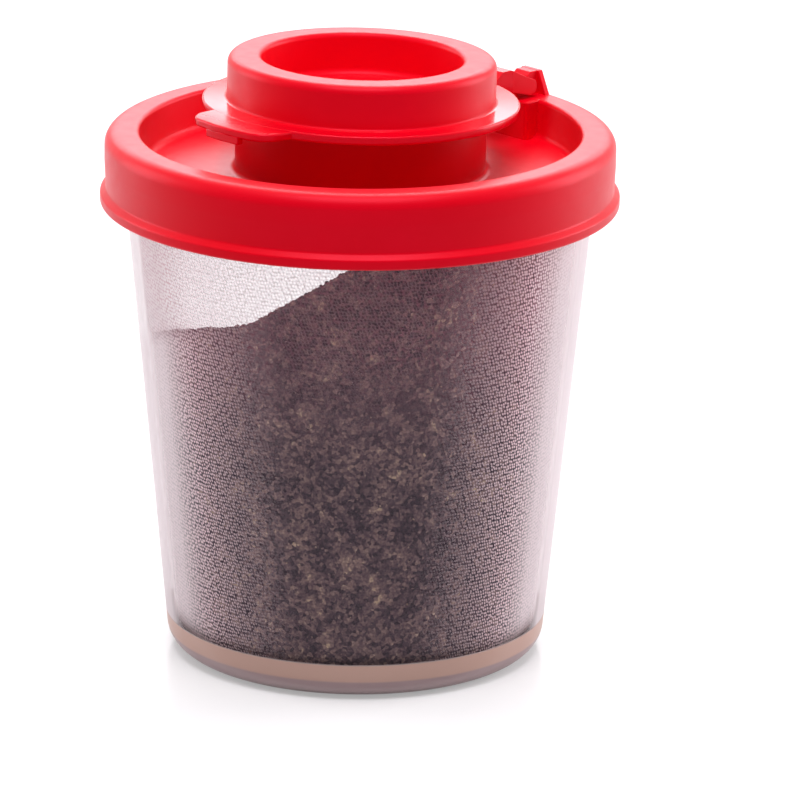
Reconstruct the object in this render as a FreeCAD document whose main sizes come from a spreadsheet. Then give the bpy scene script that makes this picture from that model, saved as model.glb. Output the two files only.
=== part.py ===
"""Small spice shaker: a clear tapered cup of ground pepper, a press-on lid with
a neck and a sifter plate, and a flip cap that turns on a hook at the lid's rim.

Millimetres, +Z up, origin at the centre of the foot on the table. The hinge is
towards +Y and the thumb tab towards -Y. Each moulding is a parametric body
whose sizes are cells of the sheet "Sizes".
"""
import FreeCAD, Part
import math
import os
import Sketcher
from FreeCAD import Vector

doc = FreeCAD.newDocument("SpiceShaker")

# Driving dimensions, in millimetres and degrees
SIZES = [
    # Cup: a tapered wall on a foot ring, with a roll round its rim
    ("cup_height", 59.6),
    ("cup_top_radius", 27.23),
    ("base_radius", 21.49),
    ("cup_wall", 1.0),
    ("cup_floor", 1.9),
    ("foot_recess", 0.9),
    ("foot_width", 1.4),
    ("base_corner", 3.1),
    ("inner_corner", 1.6),
    ("roll_reach", 0.42),
    ("roll_height", 2.2),
    ("roll_slope", 0.6),
    ("roll_round", 0.3),
    # Pepper: a heap that leans on the front wall and runs up to the right
    ("fill_gap", 0.1),
    ("fill_room", 5.1),
    ("heap_turn", 46.5),
    ("heap_fall", 19.0),
    ("heap_drop", 20.0),
    ("ramp_start", 12.5),
    ("ramp_angle", 28.3),
    # Lid: heights are measured up from the bottom of its lip
    ("skirt_depth", 6.79),
    ("seat_gap", 0.1),
    ("crown_wall", 1.4),
    ("skirt_gap", 0.4),
    ("skirt_wall", 1.0),
    ("plug_gap", 0.08),
    ("plug_wall", 1.03),
    ("rim_outer_round", 1.7),
    ("rim_inner_round", 0.5),
    ("waist_draw", 0.15),
    ("lip_reach", 0.51),
    ("lip_height", 1.15),
    ("lip_slope", 0.6),
    ("lip_round", 0.35),
    ("snap_gap", 0.06),
    ("snap_height", 1.1),
    ("floor_depth", 4.5),
    ("floor_wall", 1.1),
    ("floor_round", 0.9),
    ("neck_radius", 14.26),
    ("neck_wall", 1.26),
    ("neck_room", 1.51),
    ("neck_round", 0.35),
    ("neck_foot_round", 0.7),
    ("sifter_wall", 1.0),
    ("hole_radius", 1.2),
    ("hole_ring", 5.5),
    ("hole_count", 6),
    # Flip cap: a ring that drops over the neck, round a deep recess
    ("flange_height", 6.51),
    ("cap_height", 6.0),
    ("ring_skirt", 0.92),
    ("ring_wall", 0.95),
    ("ring_top_wall", 1.2),
    ("ring_outer_round", 1.0),
    ("ring_inner_round", 0.6),
    ("plug_room", 0.62),
    ("recess_depth", 4.84),
    ("recess_round", 0.8),
    ("disc_wall", 0.9),
    ("seal_gap", 0.3),
    ("slide_gap", 0.08),
    ("mouth_gap", 0.3),
    ("flange_reach", 2.76),
    ("flange_wall", 1.0),
    ("flange_round", 0.25),
    ("flange_foot_round", 0.3),
    ("tab_reach", 3.48),
    ("tab_root_width", 13.6),
    ("tab_tip_width", 12.4),
    ("tab_wall", 1.7),
    ("tab_round", 3.0),
    ("catch_width", 5.2),
    ("catch_depth", 1.0),
    # Hinge: the cap's cross pin in the hook of the lid's post
    ("pin_inset", 0.32),
    ("pin_lift", 1.3),
    ("pin_radius", 0.62),
    ("pin_gap", 0.05),
    ("hook_radius", 1.15),
    ("hook_width", 2.4),
    ("jaw_opening", 1.0),
    ("lead_rise", 0.95),
    ("post_rise", 1.42),
    ("post_depth", 2.8),
    ("wing_depth", 0.7),
    ("wing_top_width", 2.8),
    ("wing_foot_width", 5.3),
    ("pillar_width", 7.2),
    ("pillar_reach", 2.0),
    ("cheek_radius", 0.98),
    ("cheek_width", 1.0),
    ("cheek_gap", 0.15),
    ("crotch_gap", 2.1),
    ("post_gap", 0.12),
    ("hump_foot_share", 0.19),
    ("hump_front_share", 0.32),
    ("hump_back_share", 0.54),
    ("hump_rise", 0.68),
    ("ajar_angle", 1.34),
    # How far a boss bites into its wall, and how far a cut runs past it
    ("bite", 0.25),
    ("overrun", 5.0),
]

sheet = doc.addObject("Spreadsheet::Sheet", "Sizes")
for row, (alias, number) in enumerate(SIZES, start=1):
    sheet.set("A%d" % row, str(number))
    sheet.setAlias("A%d" % row, alias)
doc.recompute()

mm = {alias: float(number) for alias, number in SIZES}

# Derived heights of the lid and cap, up from the bottom of the lip
CREST = "(Sizes.skirt_depth + Sizes.seat_gap + Sizes.crown_wall)"
CREST_UNDER = "(Sizes.skirt_depth + Sizes.seat_gap)"
FLOOR_TOP = CREST.replace(")", " - Sizes.floor_depth)")
FLOOR_UNDER = FLOOR_TOP.replace(")", " - Sizes.floor_wall)")
FLANGE_UNDER = FLOOR_TOP.replace(")", " + Sizes.flange_height)")
FLANGE_TOP = FLANGE_UNDER.replace(")", " + Sizes.flange_wall)")
CAP_TOP = FLANGE_UNDER.replace(")", " + Sizes.cap_height)")
RECESS_FLOOR = CAP_TOP.replace(")", " - Sizes.recess_depth)")
DISC_UNDER = RECESS_FLOOR.replace(")", " - Sizes.disc_wall)")
CHANNEL_TOP = CAP_TOP.replace(")", " - Sizes.ring_top_wall)")
NECK_TOP = CHANNEL_TOP.replace(")", " - Sizes.neck_room)")
SIFTER_TOP = DISC_UNDER.replace(")", " - Sizes.seal_gap)")
SIFTER_UNDER = SIFTER_TOP.replace(")", " - Sizes.sifter_wall)")
PIN_HEIGHT = CREST.replace(")", " + Sizes.pin_lift)")

# Derived radii: the lid fits the cup's rim, the cap fits the lid's neck
SKIRT_INNER = "(Sizes.cup_top_radius + Sizes.roll_reach + Sizes.skirt_gap)"
RIM_OUTER = SKIRT_INNER.replace(")", " + Sizes.skirt_wall)")
PLUG_RIM = "(Sizes.cup_top_radius - Sizes.cup_wall - Sizes.plug_gap)"
RIM_INNER = PLUG_RIM.replace(")", " - Sizes.plug_wall)")
PIN_REACH = RIM_INNER.replace(")", " - Sizes.pin_inset)")
RING_RADIUS = "(Sizes.neck_radius + Sizes.slide_gap + Sizes.ring_skirt)"
FLANGE_RADIUS = RING_RADIUS.replace(")", " + Sizes.flange_reach)")
TAB_REACH = FLANGE_RADIUS.replace(")", " + Sizes.tab_reach)")
SEAL_RADIUS = "(Sizes.neck_radius - Sizes.neck_wall - Sizes.plug_room)"
RECESS_RADIUS = SEAL_RADIUS.replace(")", " - Sizes.ring_wall)")

# The pepper's highest and lowest points hang from the cup's rim
FILL_TOP = "(Sizes.cup_height - Sizes.fill_room)"
HEAP_LOW = FILL_TOP.replace(")", " - Sizes.heap_drop)")

# The cup's taper, as a rise of the wall's radius per millimetre of height
TAPER = "((Sizes.cup_top_radius - Sizes.base_radius) / Sizes.cup_height)"

crest = mm["skirt_depth"] + mm["seat_gap"] + mm["crown_wall"]
floor_top = crest - mm["floor_depth"]
flange_under = floor_top + mm["flange_height"]
flange_top = flange_under + mm["flange_wall"]
cap_top = flange_under + mm["cap_height"]
neck_top = cap_top - mm["ring_top_wall"] - mm["neck_room"]
rim_outer = mm["cup_top_radius"] + mm["roll_reach"] + mm["skirt_gap"] + mm["skirt_wall"]
rim_inner = mm["cup_top_radius"] - mm["cup_wall"] - mm["plug_gap"] - mm["plug_wall"]
ring_radius = mm["neck_radius"] + mm["slide_gap"] + mm["ring_skirt"]
flange_radius = ring_radius + mm["flange_reach"]
recess_radius = mm["neck_radius"] - mm["neck_wall"] - mm["plug_room"] - mm["ring_wall"]
taper = (mm["cup_top_radius"] - mm["base_radius"]) / mm["cup_height"]


def new_body(label):
    """A body named after the node it becomes."""
    body = doc.addObject("PartDesign::Body", label)
    body.Label = label
    return body


def new_sketch(body, name, role, height=None):
    """A sketch on one of the body's own origin planes, raised along its normal by a size."""
    plane = [item for item in body.Origin.OriginFeatures if item.Role == role][0]
    sketch = body.newObject("Sketcher::SketchObject", name)
    sketch.AttachmentSupport = [(plane, "")]
    sketch.MapMode = "FlatFace"
    if height:
        sketch.setExpression(".AttachmentOffset.Base.z", height)
    return sketch


def place_point(sketch, geometry, end, across, up):
    """Hold one point of the sketch at two expressions."""
    for kind, axis, rule in (("DistanceX", -2, across), ("DistanceY", -1, up)):
        if rule == "0":
            sketch.addConstraint(Sketcher.Constraint("PointOnObject", geometry, end, axis))
        else:
            index = sketch.addConstraint(Sketcher.Constraint(kind, -1, 1, geometry, end, 1.0))
            sketch.setExpression("Constraints[%d]" % index, rule)


def outline(sketch, corners):
    """A closed outline of straight edges, each corner held at two expressions."""
    count = len(corners)
    turn = 2 * math.pi / count
    rough = [Vector(math.cos(turn * i), math.sin(turn * i), 0) for i in range(count)]
    first = sketch.GeometryCount
    for i in range(count):
        edge = Part.LineSegment(rough[i], rough[(i + 1) % count])
        sketch.addGeometry(edge, False)
    for i, (across, up) in enumerate(corners):
        before = first + (i - 1) % count
        sketch.addConstraint(Sketcher.Constraint("Coincident", before, 2, first + i, 1))
        place_point(sketch, first + i, 1, across, up)
    return sketch


def circle(sketch, across, up, radius):
    """A circle with its centre and radius held at expressions."""
    unit_circle = Part.Circle(Vector(0, 0, 0), Vector(0, 0, 1), 1.0)
    index = sketch.addGeometry(unit_circle, False)
    place_point(sketch, index, 3, across, up)
    limit = sketch.addConstraint(Sketcher.Constraint("Radius", index, 1.0))
    sketch.setExpression("Constraints[%d]" % limit, radius)
    return sketch


def revolve(body, sketch):
    """Turn a profile of the XZ plane fully round the body's Z axis."""
    feature = body.newObject("PartDesign::Revolution", sketch.Name + "Turned")
    feature.Profile = sketch
    feature.ReferenceAxis = (sketch, ["V_Axis"])
    feature.Angle = 360.0
    doc.recompute()
    return feature


def pad(body, sketch, length, midplane=True, flip=False):
    """Extrude a sketch by an expression, to both sides or to one."""
    feature = body.newObject("PartDesign::Pad", sketch.Name + "Raised")
    feature.Profile = sketch
    feature.SideType = "Symmetric" if midplane else "One side"
    feature.Reversed = flip
    feature.setExpression("Length", length)
    doc.recompute()
    return feature


def pocket(body, sketch, length, midplane=True, flip=False):
    """Cut a sketch through the body, and make sure that it takes something away."""
    before = body.Shape.Volume
    feature = body.newObject("PartDesign::Pocket", sketch.Name + "Cut")
    feature.Profile = sketch
    feature.SideType = "Symmetric" if midplane else "One side"
    feature.Reversed = flip
    feature.setExpression("Length", length)
    doc.recompute()
    if body.Shape.Volume >= before:
        raise RuntimeError("%s cut nothing from %s" % (sketch.Name, body.Label))
    return feature


def rings(body, places):
    """Names of the round edges about Z nearest to each (radius, height)."""
    found = []
    for index, edge in enumerate(body.Shape.Edges, start=1):
        curve = edge.Curve
        if isinstance(curve, Part.Circle) and abs(curve.Axis.z) > math.cos(math.pi / 4):
            found.append((curve.Radius, curve.Center.z, "Edge%d" % index))
    return [min(found, key=lambda item: math.hypot(item[0] - radius, item[1] - height))[2]
            for radius, height in places]


def lines(body, places):
    """Names of the straight edges whose middles are nearest to each (x, y, z)."""
    found = []
    for index, edge in enumerate(body.Shape.Edges, start=1):
        if isinstance(edge.Curve, Part.Line):
            middle = (edge.Vertexes[0].Point + edge.Vertexes[-1].Point) * 0.5
            found.append((middle, "Edge%d" % index))
    return [min(found, key=lambda item: item[0].distanceToPoint(Vector(*place)))[1]
            for place in places]


def fillet(body, name, edges, radius):
    """Round the named edges of the body's last feature."""
    base = body.Tip
    feature = body.newObject("PartDesign::Fillet", name)
    feature.Base = (base, sorted(set(edges)))
    feature.setExpression("Radius", radius)
    doc.recompute()
    return feature


# Cup
def make_cup():
    body = new_body("cup")
    outer = "Sizes.base_radius + %s * " % TAPER
    roll_foot = "(Sizes.cup_height - Sizes.roll_height - Sizes.roll_slope)"
    roll_radius = "Sizes.cup_top_radius + Sizes.roll_reach"
    foot_inner = "Sizes.base_radius - Sizes.base_corner - Sizes.foot_width"
    floor = "(Sizes.foot_recess + Sizes.cup_floor)"
    profile = outline(new_sketch(body, "CupProfile", "XZ_Plane"), [
        ("0", "Sizes.foot_recess"),
        (foot_inner, "Sizes.foot_recess"),
        (foot_inner, "0"),
        ("Sizes.base_radius", "0"),
        (outer + roll_foot, roll_foot),
        (roll_radius, "Sizes.cup_height - Sizes.roll_height"),
        (roll_radius, "Sizes.cup_height"),
        ("Sizes.cup_top_radius - Sizes.cup_wall", "Sizes.cup_height"),
        (outer + floor + " - Sizes.cup_wall", floor),
        ("0", floor),
    ])
    revolve(body, profile)
    inside_floor = mm["foot_recess"] + mm["cup_floor"]
    inside_radius = mm["base_radius"] + taper * inside_floor - mm["cup_wall"]
    roll = mm["cup_top_radius"] + mm["roll_reach"]
    fillet(body, "BaseCorner", rings(body, [(mm["base_radius"], 0)]), "Sizes.base_corner")
    fillet(body, "InnerCorner", rings(body, [(inside_radius, inside_floor)]), "Sizes.inner_corner")
    roll_edges = rings(body, [(roll, mm["cup_height"]), (roll, mm["cup_height"] - mm["roll_height"])])
    fillet(body, "RollRound", roll_edges, "Sizes.roll_round")
    return body


# Ground pepper
def make_pepper():
    body = new_body("ground_pepper")
    floor = "(Sizes.foot_recess + Sizes.cup_floor + Sizes.fill_gap)"
    inner = "Sizes.base_radius - Sizes.cup_wall - Sizes.fill_gap + %s * " % TAPER
    profile = outline(new_sketch(body, "FillProfile", "XZ_Plane"), [
        ("0", floor),
        (inner + floor, floor),
        (inner + FILL_TOP, FILL_TOP),
        ("0", FILL_TOP),
    ])
    revolve(body, profile)
    low = mm["foot_recess"] + mm["cup_floor"] + mm["fill_gap"]
    edge = mm["base_radius"] - mm["cup_wall"] - mm["fill_gap"] + taper * low
    fillet(body, "FillCorner", rings(body, [(edge, low)]), "Sizes.inner_corner")
    heap = new_sketch(body, "HeapProfile", "XZ_Plane")
    heap.setExpression(".AttachmentOffset.Rotation.Axis.x", "1")
    heap.setExpression(".AttachmentOffset.Rotation.Axis.z", "0")
    heap.setExpression(".AttachmentOffset.Rotation.Angle", "-Sizes.heap_fall")
    far = "(Sizes.cup_top_radius + Sizes.overrun)"
    sky = "(Sizes.cup_height + Sizes.cup_top_radius)"
    rise = "%s + (%s + Sizes.ramp_start) * tan(Sizes.ramp_angle)" % (HEAP_LOW, far)
    outline(heap, [
        ("-" + far, HEAP_LOW),
        ("-Sizes.ramp_start", HEAP_LOW),
        (far, rise),
        (far, rise + " + " + sky),
        ("-" + far, rise + " + " + sky),
    ])
    pocket(body, heap, "4 * " + far)
    body.setExpression(".Placement.Rotation.Axis.z", "1")
    body.setExpression(".Placement.Rotation.Angle", "Sizes.heap_turn")
    return body


# Lid
def make_lid():
    body = new_body("lid")
    plug_foot = "%s - %s * (Sizes.skirt_depth - %s)" % (PLUG_RIM, TAPER, FLOOR_UNDER)
    snap_radius = "Sizes.cup_top_radius + Sizes.roll_reach + Sizes.snap_gap"
    snap_top = "(Sizes.skirt_depth - Sizes.roll_height - Sizes.roll_slope)"
    neck_inner = "Sizes.neck_radius - Sizes.neck_wall"
    lip_radius = RIM_OUTER + " + Sizes.lip_reach"
    profile = outline(new_sketch(body, "LidProfile", "XZ_Plane"), [
        ("0", SIFTER_UNDER),
        (neck_inner, SIFTER_UNDER),
        (neck_inner, FLOOR_UNDER),
        (plug_foot, FLOOR_UNDER),
        (PLUG_RIM, CREST_UNDER),
        (SKIRT_INNER, CREST_UNDER),
        (SKIRT_INNER, snap_top),
        (snap_radius, snap_top + " - Sizes.snap_height / 2"),
        (SKIRT_INNER, snap_top + " - Sizes.snap_height"),
        (SKIRT_INNER, "0"),
        (lip_radius, "0"),
        (lip_radius, "Sizes.lip_height"),
        (RIM_OUTER + " - Sizes.waist_draw", "Sizes.lip_height + Sizes.lip_slope"),
        (RIM_OUTER, CREST + " - 2 * Sizes.rim_outer_round"),
        (RIM_OUTER, CREST),
        (RIM_INNER, CREST),
        (RIM_INNER + " - %s * Sizes.floor_depth" % TAPER, FLOOR_TOP),
        ("Sizes.neck_radius", FLOOR_TOP),
        ("Sizes.neck_radius", NECK_TOP),
        (neck_inner, NECK_TOP),
        (neck_inner, SIFTER_TOP),
        ("0", SIFTER_TOP),
    ])
    revolve(body, profile)
    floor_edge = rim_inner - taper * mm["floor_depth"]
    lip_edge = rim_outer + mm["lip_reach"]
    lip_edges = rings(body, [(lip_edge, 0), (lip_edge, mm["lip_height"])])
    fillet(body, "LipRound", lip_edges, "Sizes.lip_round")
    crest_outer = rings(body, [(rim_outer, crest)])
    fillet(body, "RimOuterRound", crest_outer, "Sizes.rim_outer_round")
    crest_inner = rings(body, [(rim_inner, crest)])
    fillet(body, "RimInnerRound", crest_inner, "Sizes.rim_inner_round")
    fillet(body, "FloorRound", rings(body, [(floor_edge, floor_top)]), "Sizes.floor_round")
    neck_foot = rings(body, [(mm["neck_radius"], floor_top)])
    fillet(body, "NeckFootRound", neck_foot, "Sizes.neck_foot_round")
    neck_inner_radius = mm["neck_radius"] - mm["neck_wall"]
    neck_rim = rings(body, [(mm["neck_radius"], neck_top), (neck_inner_radius, neck_top)])
    fillet(body, "NeckTopRound", neck_rim, "Sizes.neck_round")
    make_sifter(body)
    make_hinge_post(body)
    return body


def make_sifter(body):
    """One hole in the middle of the sifter plate and a ring of them round it."""
    through = "2 * " + CAP_TOP
    middle = circle(new_sketch(body, "MiddleHole", "XY_Plane"), "0", "0", "Sizes.hole_radius")
    pocket(body, middle, through)
    one = circle(new_sketch(body, "RingHole", "XY_Plane"), "Sizes.hole_ring", "0", "Sizes.hole_radius")
    cut = pocket(body, one, through)
    pattern = body.newObject("PartDesign::PolarPattern", "HoleRing")
    pattern.Originals = [cut]
    pattern.Axis = (one, ["N_Axis"])
    pattern.Angle = 360.0
    pattern.setExpression("Occurrences", "Sizes.hole_count")
    body.Tip = pattern
    doc.recompute()


def make_hinge_post(body):
    """The pillar on the lid's floor, the winged post on its rim, and the hook that grips the pin."""
    back = PIN_REACH.replace(")", " + Sizes.post_depth)")
    front = PIN_REACH.replace(")", " - Sizes.hook_radius)")
    sunk_crest = CREST.replace(")", " - Sizes.bite)")
    post_top = PIN_HEIGHT.replace(")", " + Sizes.post_rise)")
    jaw_back = PIN_REACH + " + Sizes.jaw_opening / 2"

    pillar_front = PIN_REACH + " - Sizes.pillar_reach"
    pillar = outline(new_sketch(body, "PillarProfile", "YZ_Plane"), [
        (pillar_front, FLOOR_TOP.replace(")", " - Sizes.bite)")),
        (RIM_INNER + " + Sizes.bite", FLOOR_TOP.replace(")", " - Sizes.bite)")),
        (RIM_INNER + " + Sizes.bite", CREST),
        (pillar_front, CREST),
    ])
    pad(body, pillar, "Sizes.pillar_width")

    wings = outline(new_sketch(body, "WingProfile", "XZ_Plane", "-" + back), [
        ("-Sizes.wing_top_width / 2", post_top),
        ("Sizes.wing_top_width / 2", post_top),
        ("Sizes.wing_foot_width / 2", CREST),
        ("Sizes.wing_foot_width / 2", sunk_crest),
        ("-Sizes.wing_foot_width / 2", sunk_crest),
        ("-Sizes.wing_foot_width / 2", CREST),
    ])
    pad(body, wings, "Sizes.wing_depth", midplane=False)

    post_front = PIN_REACH + " + Sizes.cheek_radius + Sizes.post_gap"
    block = outline(new_sketch(body, "HookBlock", "YZ_Plane"), [
        (front, sunk_crest),
        (back, sunk_crest),
        (back, post_top),
        (post_front, post_top),
        (jaw_back, PIN_HEIGHT + " + Sizes.lead_rise"),
        (PIN_REACH, PIN_HEIGHT),
        (front, PIN_HEIGHT),
    ])
    pad(body, block, "Sizes.hook_width")
    nose = circle(new_sketch(body, "HookNose", "YZ_Plane"), PIN_REACH, PIN_HEIGHT,
                  "Sizes.hook_radius")
    pad(body, nose, "Sizes.hook_width")
    bore = circle(new_sketch(body, "HookBore", "YZ_Plane"), PIN_REACH, PIN_HEIGHT,
                  "Sizes.pin_radius + Sizes.pin_gap")
    pocket(body, bore, "Sizes.hook_width + Sizes.bite")

    jaw_front = PIN_REACH + " - Sizes.jaw_opening / 2"
    jaw = outline(new_sketch(body, "HookJaw", "YZ_Plane"), [
        (jaw_front, PIN_HEIGHT),
        (jaw_back, PIN_HEIGHT),
        (jaw_back, post_top),
        (jaw_front, post_top),
    ])
    pocket(body, jaw, "Sizes.hook_width + Sizes.bite")


# Flip cap
def make_flip_cap():
    body = new_body("flip_cap")
    profile = outline(new_sketch(body, "CapProfile", "XZ_Plane"), [
        ("0", DISC_UNDER),
        (SEAL_RADIUS, DISC_UNDER),
        (SEAL_RADIUS, CHANNEL_TOP),
        ("Sizes.neck_radius + Sizes.slide_gap", CHANNEL_TOP),
        ("Sizes.neck_radius + Sizes.mouth_gap", FLANGE_UNDER),
        (FLANGE_RADIUS, FLANGE_UNDER),
        (FLANGE_RADIUS, FLANGE_TOP),
        (RING_RADIUS, FLANGE_TOP),
        (RING_RADIUS, CAP_TOP),
        (RECESS_RADIUS, CAP_TOP),
        (RECESS_RADIUS, RECESS_FLOOR),
        ("0", RECESS_FLOOR),
    ])
    revolve(body, profile)
    fillet(body, "RingOuterRound", rings(body, [(ring_radius, cap_top)]), "Sizes.ring_outer_round")
    fillet(body, "RingInnerRound", rings(body, [(recess_radius, cap_top)]), "Sizes.ring_inner_round")
    recess_edge = rings(body, [(recess_radius, cap_top - mm["recess_depth"])])
    fillet(body, "RecessRound", recess_edge, "Sizes.recess_round")
    flange_foot = rings(body, [(ring_radius, flange_top)])
    fillet(body, "FlangeFootRound", flange_foot, "Sizes.flange_foot_round")
    flange_rim = [(flange_radius, flange_top), (flange_radius, flange_under)]
    fillet(body, "FlangeRound", rings(body, flange_rim), "Sizes.flange_round")
    make_tab(body)
    make_fork(body)
    return body


def make_tab(body):
    """The thumb tab: two converging sides, an arced tip, and a thicker catch under the tip's middle."""
    sketch = new_sketch(body, "TabProfile", "XY_Plane", FLANGE_TOP)
    root = mm["tab_root_width"] / 2
    tip = mm["tab_tip_width"] / 2
    start = (ring_radius + flange_radius) / 2
    reach = flange_radius + mm["tab_reach"]
    edge = math.sqrt(reach ** 2 - tip ** 2)
    swing = math.asin(tip / reach)
    left = sketch.addGeometry(Part.LineSegment(Vector(-root, -start, 0), Vector(-tip, -edge, 0)), False)
    tip_circle = Part.Circle(Vector(0, 0, 0), Vector(0, 0, 1), reach)
    arc = Part.ArcOfCircle(tip_circle, -math.pi / 2 - swing, -math.pi / 2 + swing)
    front = sketch.addGeometry(arc, False)
    right = sketch.addGeometry(Part.LineSegment(Vector(tip, -edge, 0), Vector(root, -start, 0)), False)
    back = sketch.addGeometry(Part.LineSegment(Vector(root, -start, 0), Vector(-root, -start, 0)), False)
    sketch.addConstraint(Sketcher.Constraint("Coincident", left, 2, front, 1))
    sketch.addConstraint(Sketcher.Constraint("Coincident", front, 2, right, 1))
    sketch.addConstraint(Sketcher.Constraint("Coincident", right, 2, back, 1))
    sketch.addConstraint(Sketcher.Constraint("Coincident", back, 2, left, 1))
    sketch.addConstraint(Sketcher.Constraint("Coincident", front, 3, -1, 1))
    held = [
        (Sketcher.Constraint("Radius", front, reach), TAB_REACH),
        (Sketcher.Constraint("DistanceX", -1, 1, front, 1, -tip), "-Sizes.tab_tip_width / 2"),
        (Sketcher.Constraint("DistanceX", -1, 1, front, 2, tip), "Sizes.tab_tip_width / 2"),
    ]
    for constraint, rule in held:
        index = sketch.addConstraint(constraint)
        sketch.setExpression("Constraints[%d]" % index, rule)
    seat = "-(%s + %s) / 2" % (RING_RADIUS, FLANGE_RADIUS)
    place_point(sketch, back, 1, "Sizes.tab_root_width / 2", seat)
    place_point(sketch, back, 2, "-Sizes.tab_root_width / 2", seat)
    pad(body, sketch, "Sizes.tab_wall", midplane=False, flip=True)
    tab_middle = flange_top - mm["tab_wall"] / 2
    tips = lines(body, [(-tip, -edge, tab_middle), (tip, -edge, tab_middle)])
    fillet(body, "TabRound", tips, "Sizes.tab_round")
    catch_back = "-(%s - Sizes.catch_depth)" % TAB_REACH
    beyond = "-(%s + Sizes.overrun)" % TAB_REACH
    thinned = outline(new_sketch(body, "TabThinning", "XY_Plane", FLANGE_UNDER), [
        ("-Sizes.tab_root_width", beyond),
        ("-Sizes.catch_width / 2", beyond),
        ("-Sizes.catch_width / 2", catch_back),
        ("Sizes.catch_width / 2", catch_back),
        ("Sizes.catch_width / 2", beyond),
        ("Sizes.tab_root_width", beyond),
        ("Sizes.tab_root_width", "0"),
        ("-Sizes.tab_root_width", "0"),
    ])
    pocket(body, thinned, "Sizes.tab_wall", midplane=False)


def make_fork(body):
    """The arm from the flange, its two cheeks either side of the hook, and the pin between them."""
    inside = "(%s + %s) / 2" % (RING_RADIUS, FLANGE_RADIUS)
    cheek_half = "(Sizes.hook_width / 2 + Sizes.cheek_gap)"
    arm_width = "2 * (%s + Sizes.cheek_width)" % cheek_half
    crotch = PIN_REACH.replace(")", " - Sizes.hook_radius - Sizes.crotch_gap)")
    run = "(%s - %s)" % (PIN_REACH, FLANGE_RADIUS)
    hump_foot = FLANGE_RADIUS + " + Sizes.hump_foot_share * " + run
    hump_front = FLANGE_RADIUS + " + Sizes.hump_front_share * " + run
    hump_back = FLANGE_RADIUS + " + Sizes.hump_back_share * " + run
    arm = outline(new_sketch(body, "ArmProfile", "YZ_Plane"), [
        (inside, FLANGE_UNDER),
        (FLANGE_RADIUS, FLANGE_UNDER),
        (PIN_REACH, PIN_HEIGHT + " - Sizes.cheek_radius"),
        (PIN_REACH, PIN_HEIGHT + " + Sizes.cheek_radius"),
        (hump_back, FLANGE_TOP + " + Sizes.hump_rise"),
        (hump_front, FLANGE_TOP + " + Sizes.hump_rise"),
        (hump_foot, FLANGE_TOP),
        (inside, FLANGE_TOP),
    ])
    pad(body, arm, arm_width)
    end = circle(new_sketch(body, "CheekEnd", "YZ_Plane"), PIN_REACH, PIN_HEIGHT,
                 "Sizes.cheek_radius")
    pad(body, end, arm_width)
    beyond = PIN_REACH + " + Sizes.cheek_radius + Sizes.overrun"
    slot = outline(new_sketch(body, "ForkSlot", "XY_Plane"), [
        ("-" + cheek_half, crotch),
        (cheek_half, crotch),
        (cheek_half, beyond),
        ("-" + cheek_half, beyond),
    ])
    pocket(body, slot, "2 * " + CAP_TOP)
    pin = circle(new_sketch(body, "PinProfile", "YZ_Plane"), PIN_REACH, PIN_HEIGHT,
                 "Sizes.pin_radius")
    pad(body, pin, "2 * (%s + Sizes.bite)" % cheek_half)


cup = make_cup()
pepper = make_pepper()
lid = make_lid()
flip_cap = make_flip_cap()

# The lid rests on the cup's rim, and the cap stands ajar about its pin
lid_height = "(Sizes.cup_height - Sizes.skirt_depth)"
lid.setExpression(".Placement.Base.z", lid_height)
flip_cap.setExpression(".Placement.Rotation.Axis.x", "1")
flip_cap.setExpression(".Placement.Rotation.Axis.z", "0")
flip_cap.setExpression(".Placement.Rotation.Angle", "-Sizes.ajar_angle")
flip_cap.setExpression(
    ".Placement.Base.y",
    "%s * (1 - cos(Sizes.ajar_angle)) - %s * sin(Sizes.ajar_angle)" % (PIN_REACH, PIN_HEIGHT))
flip_cap.setExpression(
    ".Placement.Base.z",
    "%s + %s * (1 - cos(Sizes.ajar_angle)) + %s * sin(Sizes.ajar_angle)"
    % (lid_height, PIN_HEIGHT, PIN_REACH))
doc.recompute()

for item in doc.Objects:
    if "Invalid" in item.State or "Error" in item.State:
        raise RuntimeError("%s has state %s" % (item.Name, item.State))

nodes = [cup, pepper, lid, flip_cap]
for node in nodes:
    if node.Shape.isNull() or not node.Shape.isValid() or len(node.Shape.Solids) != 1:
        raise RuntimeError("%s is not one valid solid" % node.Label)

os.makedirs("parts", exist_ok=True)
for node in nodes:
    node.Shape.exportStep("parts/%s.step" % node.Label)
    print(node.Label, round(node.Shape.Volume, 1), node.Shape.BoundBox)
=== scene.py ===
"""Small spice shaker: clear pebbled cup of ground pepper, red press-on lid and red flip cap.

Metres, +Z up, the CAD frame: the hinge is towards +Y and the thumb tab towards -Y. Shapes are worked out in
millimetres, and mesh_piece turns them into metres.
"""
import math

import bmesh
import bpy
import numpy as np
from mathutils import Matrix, Vector


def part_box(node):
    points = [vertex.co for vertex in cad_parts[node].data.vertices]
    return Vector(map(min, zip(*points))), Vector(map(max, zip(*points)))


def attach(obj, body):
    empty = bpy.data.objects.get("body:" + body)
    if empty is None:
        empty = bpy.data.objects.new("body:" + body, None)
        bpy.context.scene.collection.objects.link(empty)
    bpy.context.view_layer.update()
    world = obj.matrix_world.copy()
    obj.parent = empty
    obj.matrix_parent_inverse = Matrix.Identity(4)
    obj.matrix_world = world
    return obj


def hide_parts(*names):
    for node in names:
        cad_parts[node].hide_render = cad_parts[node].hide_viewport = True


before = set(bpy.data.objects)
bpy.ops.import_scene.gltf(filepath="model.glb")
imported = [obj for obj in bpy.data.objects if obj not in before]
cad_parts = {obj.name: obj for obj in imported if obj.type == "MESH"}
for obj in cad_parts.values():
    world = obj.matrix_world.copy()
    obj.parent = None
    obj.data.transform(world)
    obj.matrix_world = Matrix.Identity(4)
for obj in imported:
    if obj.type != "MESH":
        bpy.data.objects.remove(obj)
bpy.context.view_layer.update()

MM = 0.001

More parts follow.
